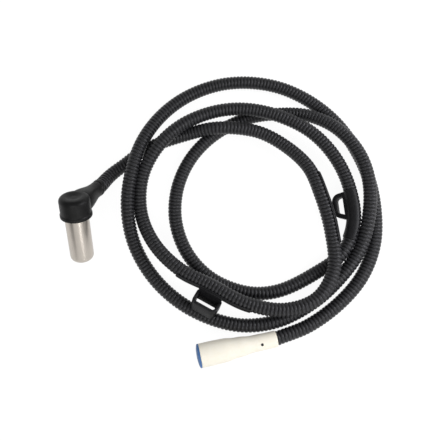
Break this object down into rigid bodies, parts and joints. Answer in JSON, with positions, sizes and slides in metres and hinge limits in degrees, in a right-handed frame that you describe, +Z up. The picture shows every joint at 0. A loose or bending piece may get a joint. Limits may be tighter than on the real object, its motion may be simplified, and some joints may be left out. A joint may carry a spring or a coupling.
{
  "type": "rotation speed sensor",
  "caption": "Wheel speed sensor with a steel barrel in an angled black head, a long corrugated conduit laid in loose turns with strap clips, and a sleeved connector.",
  "frame": {"origin": "on the floor under the middle of the sensor head's box, head taken without conduit, clips and connector", "axes": "+Z up, +X to the right as pictured towards the conduit's turns, +Y away from the viewer"},
  "size_m": [0.2219, 0.2161, 0.0451],
  "materials": {
    "steel": "satin drawn stainless",
    "moulded_black": "fine moulded texture",
    "rubber": "matte",
    "soft_iron": "turned",
    "magnet": "sintered",
    "bobbin": "moulded",
    "copper": "enamelled wire",
    "brass": "plated",
    "resin": "cast",
    "core_brown": "extruded",
    "core_black": "extruded",
    "conduit_black": "corrugated",
    "clip_plastic": "smooth moulded",
    "sleeve_cream": "soft matte",
    "cap_blue": "moulded",
    "housing_grey": "moulded"
  },
  "bodies": {
    "root": {"sensor_barrel": "steel", "head_cap": "moulded_black", "barrel_seal": "rubber", "pole_piece": "soft_iron", "bias_magnet": "magnet", "coil_bobbin": "bobbin", "coil_winding": "copper", "terminal_front": "brass", "terminal_rear": "brass", "potting_plug": "resin", "head_core_brown": "core_brown", "head_core_black": "core_black", "neck_seal": "rubber", "cable_conduit": "conduit_black", "conduit_clip_1": "clip_plastic", "conduit_clip_2": "clip_plastic", "conduit_clip_3": "clip_plastic", "connector_sleeve": "sleeve_cream", "conduit_adapter": "rubber", "connector_core_brown": "core_brown", "connector_core_black": "core_black", "connector_housing": "housing_grey", "contact_pin_brown": "brass", "contact_pin_black": "brass", "connector_gasket": "rubber", "connector_end_cap": "cap_blue"}
  },
  "joints": []
}
